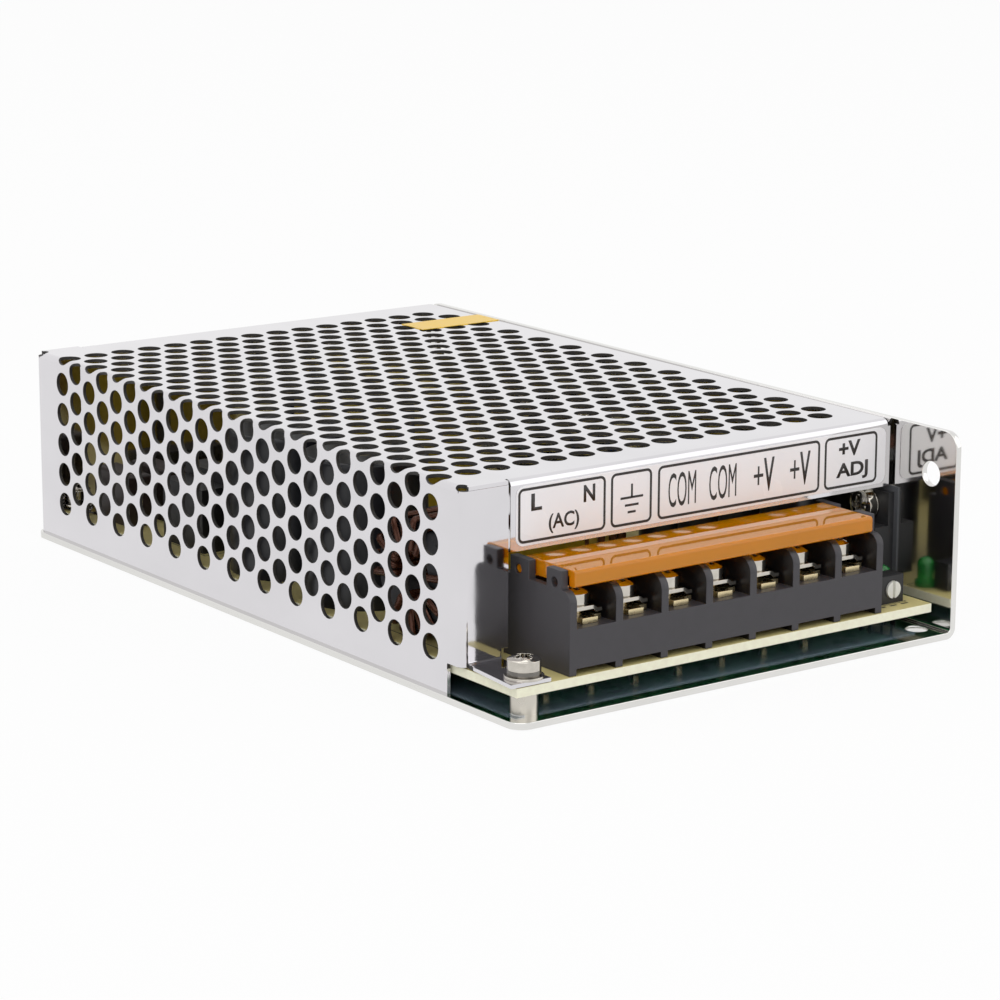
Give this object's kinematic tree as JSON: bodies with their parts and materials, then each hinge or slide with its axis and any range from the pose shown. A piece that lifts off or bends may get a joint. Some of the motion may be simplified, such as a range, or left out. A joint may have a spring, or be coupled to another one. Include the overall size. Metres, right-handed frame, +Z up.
{
  "type": "enclosed switching power supply",
  "caption": "Enclosed power supply: folded aluminium chassis, perforated steel cover, circuit board and a screw terminal block under a hinged clear amber lid.",
  "frame": {"origin": "middle of the underside of the chassis, at the bottom centre of the bounding box", "axes": "+X towards the chassis wall on the right, -Y towards the screw terminals, +Z up"},
  "size_m": [0.0954, 0.159, 0.0369],
  "materials": {
    "chassis_aluminium": "satin, mill finish",
    "plated_steel": "bright zinc plate",
    "white_label": "silver white print film",
    "yellow_label": "satin",
    "clear_film": "clear, glossy",
    "bright_nickel": "bright nickel plate",
    "board_laminate": "satin laminate",
    "black_moulding": "satin moulding",
    "plated_brass": "tin plate over brass",
    "amber_plastic": "clear amber, glossy",
    "white_plastic": "satin",
    "green_lens": "diffused green",
    "grey_pad": "matt",
    "black_sleeve": "shrunk sleeve",
    "clear_glass": "clear with plated caps",
    "ferrite": "matt",
    "copper_wire": "enamelled copper",
    "yellow_plastic": "satin",
    "blue_coating": "dipped",
    "dark_green_coating": "dipped",
    "yellow_tape": "polyester tape",
    "iron_powder": "painted core",
    "beige_coating": "coated",
    "red_plastic": "satin"
  },
  "bodies": {
    "case": {"board_screws": "bright_nickel", "bridge_rectifier": "black_moulding", "bulk_capacitors": "black_sleeve", "chassis": "chassis_aluminium", "circuit_board": "board_laminate", "contact_plates": "plated_brass", "control_chip": "black_moulding", "cover": "plated_steel", "cover_side_screws": "bright_nickel", "device_screws": "bright_nickel", "device_washers": "bright_nickel", "driver_transformer": "yellow_tape", "film_capacitors": "red_plastic", "foot_flat_washers": "bright_nickel", "foot_screws": "bright_nickel", "foot_spring_washers": "bright_nickel", "fuse": "clear_glass", "insulating_pads": "grey_pad", "insulating_sheet": "clear_film", "line_choke_core": "ferrite", "line_choke_windings": "copper_wire", "output_capacitors": "black_sleeve", "output_choke_core": "iron_powder", "output_choke_winding": "copper_wire", "output_diode": "black_moulding", "power_led": "green_lens", "resistors": "beige_coating", "small_capacitors": "black_sleeve", "standoffs": "bright_nickel", "switching_transistors": "black_moulding", "terminal_block": "black_moulding", "terminal_label": "white_label", "thermistor": "dark_green_coating", "transformer_core": "ferrite", "transformer_tape": "yellow_tape", "transformer_winding": "yellow_tape", "trimmer_body": "black_moulding", "x_capacitor": "yellow_plastic", "y_capacitors": "blue_coating", "yellow_sticker": "yellow_label"},
    "lid": {"terminal_lid": "amber_plastic"},
    "adjuster": {"trimmer_rotor": "white_plastic"},
    "terminal_1": {"terminal_screw_1": "bright_nickel", "clamp_washer_1": "bright_nickel"},
    "terminal_2": {"terminal_screw_2": "bright_nickel", "clamp_washer_2": "bright_nickel"},
    "terminal_3": {"terminal_screw_3": "bright_nickel", "clamp_washer_3": "bright_nickel"},
    "terminal_4": {"terminal_screw_4": "bright_nickel", "clamp_washer_4": "bright_nickel"},
    "terminal_5": {"terminal_screw_5": "bright_nickel", "clamp_washer_5": "bright_nickel"},
    "terminal_6": {"terminal_screw_6": "bright_nickel", "clamp_washer_6": "bright_nickel"},
    "terminal_7": {"terminal_screw_7": "bright_nickel", "clamp_washer_7": "bright_nickel"}
  },
  "joints": [
    {"name": "lid_hinge", "type": "hinge", "parent": "case", "child": "lid", "pos_m": [0, -0.0625, 0.0215], "axis": [-1, 0, 0], "range_deg": [0, 35]},
    {"name": "adjuster_turn", "type": "hinge", "parent": "case", "child": "adjuster", "pos_m": [0.0387, -0.0725, 0.0088], "axis": [0, -1, 0], "range_deg": [-130, 130]},
    {"name": "terminal_screw_1_travel", "type": "slide", "parent": "case", "child": "terminal_1", "axis": [0, 0, 1], "range_m": [-0.00025, 0.0019]},
    {"name": "terminal_screw_2_travel", "type": "slide", "parent": "case", "child": "terminal_2", "axis": [0, 0, 1], "range_m": [-0.00025, 0.0019]},
    {"name": "terminal_screw_3_travel", "type": "slide", "parent": "case", "child": "terminal_3", "axis": [0, 0, 1], "range_m": [-0.00025, 0.0019]},
    {"name": "terminal_screw_4_travel", "type": "slide", "parent": "case", "child": "terminal_4", "axis": [0, 0, 1], "range_m": [-0.00025, 0.0019]},
    {"name": "terminal_screw_5_travel", "type": "slide", "parent": "case", "child": "terminal_5", "axis": [0, 0, 1], "range_m": [-0.00025, 0.0019]},
    {"name": "terminal_screw_6_travel", "type": "slide", "parent": "case", "child": "terminal_6", "axis": [0, 0, 1], "range_m": [-0.00025, 0.0019]},
    {"name": "terminal_screw_7_travel", "type": "slide", "parent": "case", "child": "terminal_7", "axis": [0, 0, 1], "range_m": [-0.00025, 0.0019]}
  ]
}
